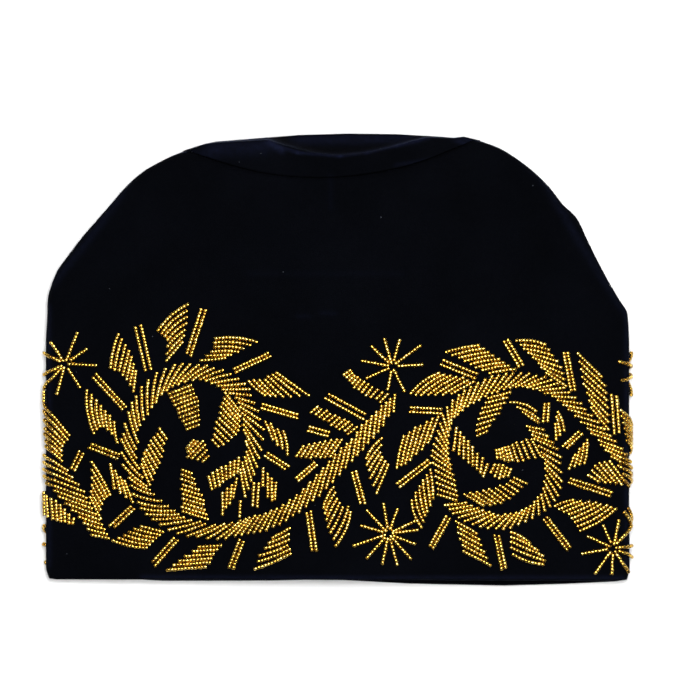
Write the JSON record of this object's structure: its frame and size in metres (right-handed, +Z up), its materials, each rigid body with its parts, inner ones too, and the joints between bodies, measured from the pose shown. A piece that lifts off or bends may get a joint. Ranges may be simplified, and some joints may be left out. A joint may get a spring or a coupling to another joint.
{
  "type": "beaded velvet cap",
  "caption": "Soft dark velvet cap lying flat, open at the rim, with a round crown and a running scroll of gold seed beads with leaves, petals and stars round its lower wall.",
  "frame": {"origin": "middle of the underside, on the surface that the cap lies on", "axes": "+X across the front, to the right as seen from above; +Y from the open rim to the crown; +Z up from the surface"},
  "size_m": [0.2878, 0.2184, 0.0271],
  "materials": {
    "velvet": "short pile velvet, near-black navy",
    "beads": "shiny gold seed beads"
  },
  "bodies": {
    "root": {"side_wall": "velvet", "crown": "velvet", "scroll_left_upper": "beads", "scroll_left_lower": "beads", "stem_middle": "beads", "stem_edge_upper": "beads", "stem_edge_lower": "beads", "scroll_right_outer": "beads", "scroll_right_inner": "beads", "leaf_01": "beads", "leaf_02": "beads", "leaf_03": "beads", "leaf_04": "beads", "leaf_05": "beads", "leaf_06": "beads", "leaf_07": "beads", "leaf_08": "beads", "leaf_09": "beads", "leaf_10": "beads", "leaf_11": "beads", "leaf_12": "beads", "leaf_13": "beads", "leaf_14": "beads", "leaf_15": "beads", "leaf_16": "beads", "leaf_17": "beads", "leaf_18": "beads", "leaf_19": "beads", "leaf_20": "beads", "leaf_21": "beads", "leaf_22": "beads", "leaf_23": "beads", "leaf_24": "beads", "leaf_25": "beads", "leaf_26": "beads", "leaf_27": "beads", "leaf_28": "beads", "leaf_29": "beads", "petal_left_1": "beads", "petal_left_2": "beads", "petal_left_3": "beads", "petal_left_4": "beads", "petal_left_5": "beads", "petal_left_6": "beads", "petal_left_7": "beads", "petal_left_8": "beads", "petal_middle_1": "beads", "petal_middle_2": "beads", "petal_right_1": "beads", "petal_right_2": "beads", "petal_right_3": "beads", "petal_right_4": "beads", "petal_right_5": "beads", "petal_right_6": "beads", "back_scroll_left_upper": "beads", "back_scroll_left_lower": "beads", "back_stem_middle": "beads", "back_scroll_right_outer": "beads", "back_scroll_right_inner": "beads"}
  },
  "joints": []
}
